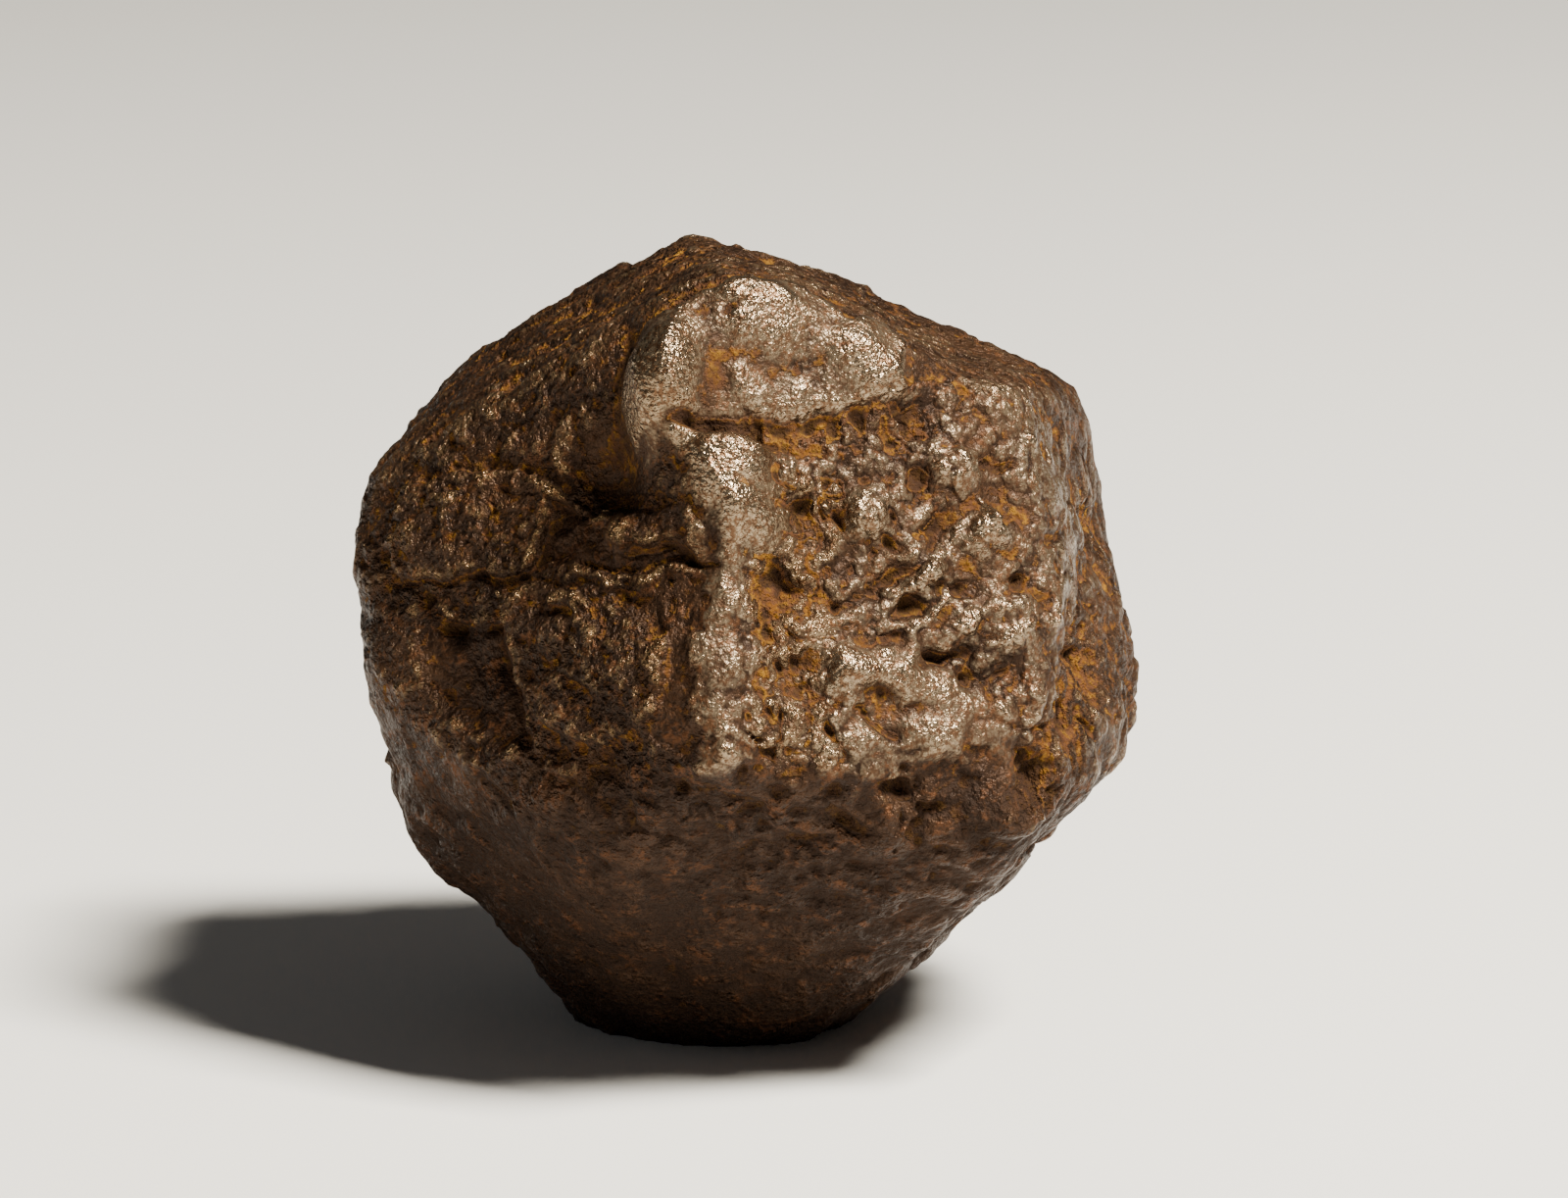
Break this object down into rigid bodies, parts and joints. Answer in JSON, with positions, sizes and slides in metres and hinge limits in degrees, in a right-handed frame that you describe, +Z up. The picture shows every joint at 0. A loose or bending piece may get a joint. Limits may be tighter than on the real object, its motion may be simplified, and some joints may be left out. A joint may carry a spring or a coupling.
{
  "type": "mineral crystal specimen",
  "caption": "Worn brown limonite crystal that has replaced another mineral, with flat rounded faces, ledges, furrows and ochre pits, resting on a small flat spot.",
  "frame": {"origin": "on the flat resting spot, straight below the middle of the crystal", "axes": "+Z up from the resting spot, +X to the right and +Y away as the crystal is seen in the picture"},
  "size_m": [0.0298, 0.0333, 0.0311],
  "materials": {
    "limonite": "dark brown natural iron oxide with a dull metallic sheen on worn high points and matt ochre in the pits"
  },
  "bodies": {
    "root": {"limonite_crystal": "limonite"}
  },
  "joints": []
}
